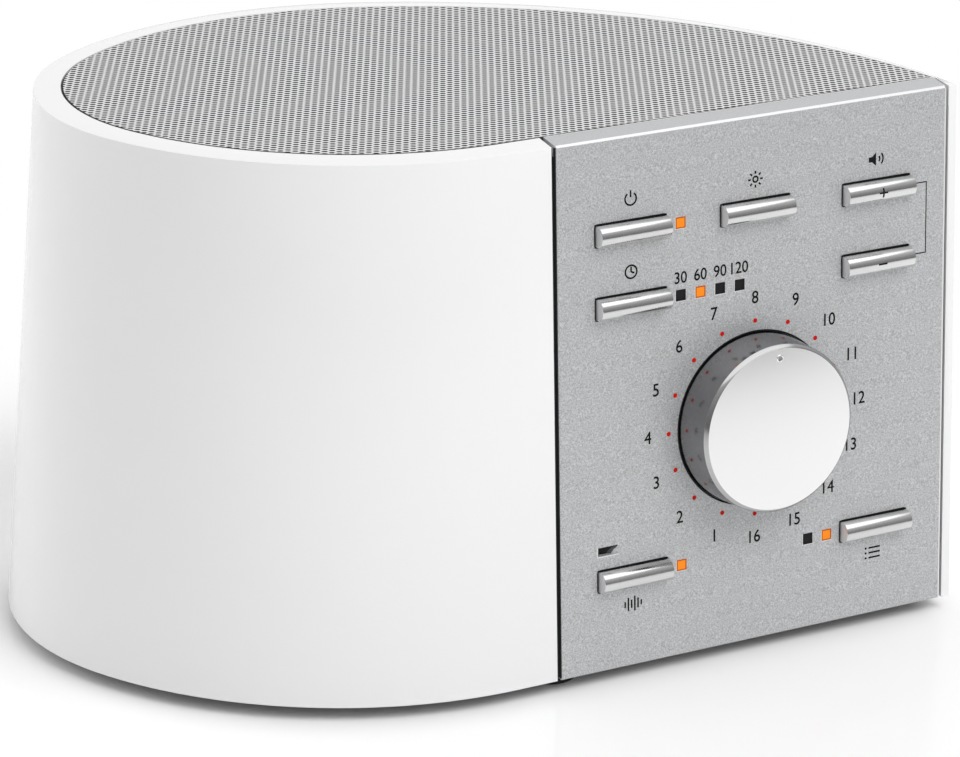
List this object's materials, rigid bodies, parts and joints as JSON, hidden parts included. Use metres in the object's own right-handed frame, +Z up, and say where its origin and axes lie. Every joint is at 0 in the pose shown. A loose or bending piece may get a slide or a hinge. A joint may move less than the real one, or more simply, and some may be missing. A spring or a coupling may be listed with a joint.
{
  "type": "white noise sound machine",
  "caption": "Bedside sound machine with an upward speaker under a perforated grille, a leaning control panel, a turning sound dial and sprung bar buttons.",
  "frame": {"origin": "middle of the bounding box in plan, on the table under the rubber feet", "axes": "+Z up, +X along the control panel from its left to its right side as seen from the front, -Y the way the control panel faces"},
  "size_m": [0.2026, 0.1522, 0.1277],
  "materials": {
    "white_shell": "gloss",
    "silver_paint": "fine metallic",
    "silver_button": "satin metallic",
    "dial_metal": "spun satin",
    "dial_face": "bright satin",
    "grille_metal": "light grey, perforated",
    "black_plastic": "matte",
    "black_rubber": "matte",
    "scrim_cloth": "fine weave",
    "fibreboard": "matte",
    "steel": "bright zinc",
    "basket_paint": "satin",
    "cone_paper": "pressed paper",
    "spider_cloth": "resin-dipped cloth",
    "copper_wire": "enamelled copper",
    "ferrite": "matte ceramic",
    "lens_orange": "lit from behind",
    "lens_dark": "smoked",
    "led_body": "moulded",
    "board_green": "solder mask",
    "chip_black": "moulded",
    "ribbon_grey": "satin",
    "wire_red": "satin",
    "capacitor_sleeve": "sleeved",
    "black_anodised": "black anodised"
  },
  "bodies": {
    "case": {"outer_shell": "white_shell", "front_panel": "silver_paint", "seam_gasket": "black_rubber", "speaker_grille": "grille_metal", "grille_scrim": "scrim_cloth", "speaker_baffle": "fibreboard", "baffle_push_nuts": "steel", "speaker_gasket": "black_rubber", "speaker_basket": "basket_paint", "speaker_surround": "black_rubber", "speaker_spider": "spider_cloth", "speaker_top_plate": "steel", "speaker_magnet": "ferrite", "speaker_yoke": "steel", "speaker_terminal": "fibreboard", "speaker_screws": "steel", "encoder_body": "steel", "encoder_nut": "steel", "tact_switches": "black_plastic", "indicator_lenses_lit": "lens_orange", "indicator_lenses_unlit": "lens_dark", "indicator_leds": "led_body", "microphone_capsule": "steel", "microphone_boot": "black_rubber", "control_board": "board_green", "control_chips": "chip_black", "board_screws": "steel", "ribbon_cable": "ribbon_grey", "speaker_wires": "wire_red", "main_board": "board_green", "main_board_screws": "steel", "amplifier_chip": "chip_black", "heat_sink": "black_anodised", "capacitors": "capacitor_sleeve", "power_socket": "black_plastic", "headphone_socket": "black_plastic", "socket_plate": "black_plastic", "base_plate": "black_plastic", "rubber_feet": "black_rubber", "base_screws": "steel"},
    "dial": {"dial_knob": "dial_metal", "dial_face": "dial_face", "dial_core": "black_plastic", "encoder_shaft": "steel"},
    "cone": {"speaker_cone": "cone_paper", "dust_cap": "cone_paper", "voice_coil": "copper_wire"},
    "power_button": {"power_button": "silver_button"},
    "display_button": {"display_button": "silver_button"},
    "volume_up_button": {"volume_up_button": "silver_button"},
    "volume_down_button": {"volume_down_button": "silver_button"},
    "timer_button": {"timer_button": "silver_button"},
    "adaptive_button": {"adaptive_button": "silver_button"},
    "selection_button": {"selection_button": "silver_button"}
  },
  "joints": [
    {"name": "dial_turn", "type": "hinge", "parent": "case", "child": "dial", "pos_m": [0.04643, -0.06408, 0.05669], "axis": [0, -0.9979, 0.0654], "continuous": true},
    {"name": "power_press", "type": "slide", "parent": "case", "child": "power_button", "axis": [0, 0.9979, -0.0654], "range_m": [0, 0.0008], "stiffness_N_per_m": 400, "springref_m": -0.0008},
    {"name": "display_press", "type": "slide", "parent": "case", "child": "display_button", "axis": [0, 0.9979, -0.0654], "range_m": [0, 0.0008], "stiffness_N_per_m": 400, "springref_m": -0.0008},
    {"name": "volume_up_press", "type": "slide", "parent": "case", "child": "volume_up_button", "axis": [0, 0.9979, -0.0654], "range_m": [0, 0.0008], "stiffness_N_per_m": 400, "springref_m": -0.0008},
    {"name": "volume_down_press", "type": "slide", "parent": "case", "child": "volume_down_button", "axis": [0, 0.9979, -0.0654], "range_m": [0, 0.0008], "stiffness_N_per_m": 400, "springref_m": -0.0008},
    {"name": "timer_press", "type": "slide", "parent": "case", "child": "timer_button", "axis": [0, 0.9979, -0.0654], "range_m": [0, 0.0008], "stiffness_N_per_m": 400, "springref_m": -0.0008},
    {"name": "adaptive_press", "type": "slide", "parent": "case", "child": "adaptive_button", "axis": [0, 0.9979, -0.0654], "range_m": [0, 0.0008], "stiffness_N_per_m": 400, "springref_m": -0.0008},
    {"name": "selection_press", "type": "slide", "parent": "case", "child": "selection_button", "axis": [0, 0.9979, -0.0654], "range_m": [0, 0.0008], "stiffness_N_per_m": 400, "springref_m": -0.0008},
    {"name": "cone_move", "type": "slide", "parent": "case", "child": "cone", "axis": [0, 0, 1], "range_m": [-0.0012, 0.0012], "stiffness_N_per_m": 2000}
  ]
}
